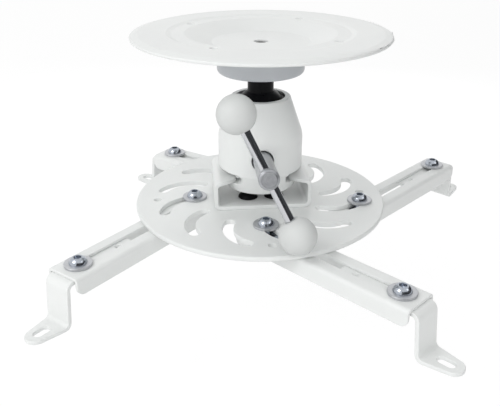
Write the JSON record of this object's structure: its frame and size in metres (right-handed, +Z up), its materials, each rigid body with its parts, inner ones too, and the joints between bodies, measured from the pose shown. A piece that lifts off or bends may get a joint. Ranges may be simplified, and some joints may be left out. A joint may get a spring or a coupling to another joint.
{
  "type": "projector ceiling mount",
  "caption": "Ceiling mount for a projector: round plate on a clamped ball joint, quick-release bracket, and a slotted disc with sliding channel arms ending in stepped feet.",
  "frame": {"origin": "centre of the ceiling plate, in the plane of its top face", "axes": "+Z up into the ceiling, the clamp handle faces -Y, +X to the right seen from the handle"},
  "size_m": [0.3055, 0.2689, 0.1428],
  "materials": {
    "white_coat": "satin white powder coat",
    "white_casting": "satin white coat on a casting",
    "collar_coat": "satin pale coat",
    "black_steel": "black oxide, oiled",
    "black_screws": "black finish",
    "liner_plastic": "natural acetal",
    "plunger_metal": "as turned",
    "clamp_steel": "turned, bright",
    "bar_chrome": "polished",
    "knob_plastic": "moulded white",
    "zinc_steel": "zinc plated"
  },
  "bodies": {
    "ceiling": {"ceiling_plate": "white_coat", "collar": "collar_coat", "ball_stud": "black_steel"},
    "inner_liner": {"inner_ball_liner": "liner_plastic"},
    "outer_liner": {"outer_ball_liner": "liner_plastic"},
    "housing": {"clamp_housing": "white_casting", "clamp_plunger": "plunger_metal", "housing_plug": "plunger_metal"},
    "clamp_screw": {"clamp_screw": "clamp_steel"},
    "handle": {"tommy_bar": "bar_chrome", "upper_knob": "knob_plastic", "lower_knob": "knob_plastic"},
    "carrier": {"bracket": "white_coat", "slotted_disc": "white_coat", "bracket_screws": "black_screws", "bracket_nuts": "zinc_steel"},
    "left_front_screw_body": {"left_front_arm_screw": "zinc_steel"},
    "left_front_washer_body": {"left_front_arm_washer": "zinc_steel"},
    "left_front_nut_body": {"left_front_slide_nut": "zinc_steel"},
    "left_front_arm_body": {"left_front_arm": "white_coat"},
    "left_front_foot_body": {"left_front_foot": "white_coat", "left_front_foot_screw": "zinc_steel", "left_front_foot_washer": "zinc_steel", "left_front_foot_nut": "zinc_steel"},
    "right_front_screw_body": {"right_front_arm_screw": "zinc_steel"},
    "right_front_washer_body": {"right_front_arm_washer": "zinc_steel"},
    "right_front_nut_body": {"right_front_slide_nut": "zinc_steel"},
    "right_front_arm_body": {"right_front_arm": "white_coat"},
    "right_front_foot_body": {"right_front_foot": "white_coat", "right_front_foot_screw": "zinc_steel", "right_front_foot_washer": "zinc_steel", "right_front_foot_nut": "zinc_steel"},
    "right_back_screw_body": {"right_back_arm_screw": "zinc_steel"},
    "right_back_washer_body": {"right_back_arm_washer": "zinc_steel"},
    "right_back_nut_body": {"right_back_slide_nut": "zinc_steel"},
    "right_back_arm_body": {"right_back_arm": "white_coat"},
    "right_back_foot_body": {"right_back_foot": "white_coat", "right_back_foot_screw": "zinc_steel", "right_back_foot_washer": "zinc_steel", "right_back_foot_nut": "zinc_steel"},
    "left_back_screw_body": {"left_back_arm_screw": "zinc_steel"},
    "left_back_washer_body": {"left_back_arm_washer": "zinc_steel"},
    "left_back_nut_body": {"left_back_slide_nut": "zinc_steel"},
    "left_back_arm_body": {"left_back_arm": "white_coat"},
    "left_back_foot_body": {"left_back_foot": "white_coat", "left_back_foot_screw": "zinc_steel", "left_back_foot_washer": "zinc_steel", "left_back_foot_nut": "zinc_steel"}
  },
  "joints": [
    {"name": "swivel", "type": "hinge", "parent": "ceiling", "child": "inner_liner", "pos_m": [0, 0, -0.0508], "axis": [0, 0, 1], "continuous": true},
    {"name": "tilt", "type": "hinge", "parent": "inner_liner", "child": "outer_liner", "pos_m": [0, 0, -0.0508], "axis": [-1, 0, 0], "range_deg": [-15, 15]},
    {"name": "roll", "type": "hinge", "parent": "outer_liner", "child": "housing", "pos_m": [0, 0, -0.0508], "axis": [0, 1, 0], "range_deg": [-15, 15]},
    {"name": "clamp_turn", "type": "hinge", "parent": "housing", "child": "clamp_screw", "pos_m": [0, 0, -0.0794], "axis": [-0.0479, -0.9788, 0.1994], "range_deg": [0, 110]},
    {"name": "bar_slide", "type": "slide", "parent": "clamp_screw", "child": "handle", "axis": [-0.4307, 0.2003, 0.88], "range_m": [0, 0.014]},
    {"name": "release", "type": "slide", "parent": "housing", "child": "carrier", "axis": [0, 1, 0], "range_m": [0, 0.048]},
    {"name": "left_front_slot_travel", "type": "hinge", "parent": "carrier", "child": "left_front_screw_body", "pos_m": [-0.04149, -0.0205, -0.1094], "axis": [0, 0, 1], "range_deg": [0, 82.4]},
    {"name": "left_front_washer_turn", "type": "hinge", "parent": "left_front_screw_body", "child": "left_front_washer_body", "pos_m": [-0.04349, 0.00091, -0.1094], "axis": [0, 0, 1], "range_deg": [-82.9, 0.5]},
    {"name": "left_front_swing", "type": "hinge", "parent": "left_front_washer_body", "child": "left_front_nut_body", "pos_m": [-0.04349, 0.00091, -0.1094], "axis": [0, 0, 1], "range_deg": [-30, 30]},
    {"name": "left_front_reach", "type": "slide", "parent": "left_front_nut_body", "child": "left_front_arm_body", "axis": [0.6626, 0.749, 0], "range_m": [-0.0007, 0.025]},
    {"name": "left_front_foot_slide", "type": "slide", "parent": "left_front_arm_body", "child": "left_front_foot_body", "axis": [-0.6626, -0.749, 0], "range_m": [-0.04, 0]},
    {"name": "right_front_slot_travel", "type": "hinge", "parent": "carrier", "child": "right_front_screw_body", "pos_m": [0.0205, -0.04149, -0.1094], "axis": [0, 0, 1], "range_deg": [0, 82.4]},
    {"name": "right_front_washer_turn", "type": "hinge", "parent": "right_front_screw_body", "child": "right_front_washer_body", "pos_m": [-0.00091, -0.04349, -0.1094], "axis": [0, 0, 1], "range_deg": [-82.9, 0.5]},
    {"name": "right_front_swing", "type": "hinge", "parent": "right_front_washer_body", "child": "right_front_nut_body", "pos_m": [-0.00091, -0.04349, -0.1094], "axis": [0, 0, 1], "range_deg": [-30, 30]},
    {"name": "right_front_reach", "type": "slide", "parent": "right_front_nut_body", "child": "right_front_arm_body", "axis": [-0.6374, 0.7705, 0], "range_m": [-0.003, 0.021]},
    {"name": "right_front_foot_slide", "type": "slide", "parent": "right_front_arm_body", "child": "right_front_foot_body", "axis": [0.6374, -0.7705, 0], "range_m": [-0.04, 0]},
    {"name": "right_back_slot_travel", "type": "hinge", "parent": "carrier", "child": "right_back_screw_body", "pos_m": [0.04618, -0.003, -0.1094], "axis": [0, 0, 1], "range_deg": [-74, 0]},
    {"name": "right_back_washer_turn", "type": "hinge", "parent": "right_back_screw_body", "child": "right_back_washer_body", "pos_m": [0.06441, -0.0144, -0.1094], "axis": [0, 0, 1], "range_deg": [-0.5, 74.5]},
    {"name": "right_back_swing", "type": "hinge", "parent": "right_back_washer_body", "child": "right_back_nut_body", "pos_m": [0.06441, -0.0144, -0.1094], "axis": [0, 0, 1], "range_deg": [-30, 30]},
    {"name": "right_back_reach", "type": "slide", "parent": "right_back_nut_body", "child": "right_back_arm_body", "axis": [-0.7547, -0.6561, 0], "range_m": [-0.0061, 0.02]},
    {"name": "right_back_foot_slide", "type": "slide", "parent": "right_back_arm_body", "child": "right_back_foot_body", "axis": [0.7547, 0.6561, 0], "range_m": [-0.036, 0]},
    {"name": "left_back_slot_travel", "type": "hinge", "parent": "carrier", "child": "left_back_screw_body", "pos_m": [-0.0205, 0.04149, -0.1094], "axis": [0, 0, 1], "range_deg": [0, 82.4]},
    {"name": "left_back_washer_turn", "type": "hinge", "parent": "left_back_screw_body", "child": "left_back_washer_body", "pos_m": [0.00091, 0.04349, -0.1094], "axis": [0, 0, 1], "range_deg": [-82.9, 0.5]},
    {"name": "left_back_swing", "type": "hinge", "parent": "left_back_washer_body", "child": "left_back_nut_body", "pos_m": [0.00091, 0.04349, -0.1094], "axis": [0, 0, 1], "range_deg": [-10, 20]},
    {"name": "left_back_reach", "type": "slide", "parent": "left_back_nut_body", "child": "left_back_arm_body", "axis": [0.7771, -0.6293, 0], "range_m": [-0.0255, 0.01]},
    {"name": "left_back_foot_slide", "type": "slide", "parent": "left_back_arm_body", "child": "left_back_foot_body", "axis": [-0.7771, 0.6293, 0], "range_m": [-0.011, 0]}
  ],
  "couplings": [
    {"joint": "left_front_washer_turn", "follows": "left_front_slot_travel", "ratio": -1},
    {"joint": "right_front_washer_turn", "follows": "right_front_slot_travel", "ratio": -1},
    {"joint": "right_back_washer_turn", "follows": "right_back_slot_travel", "ratio": -1},
    {"joint": "left_back_washer_turn", "follows": "left_back_slot_travel", "ratio": -1}
  ]
}
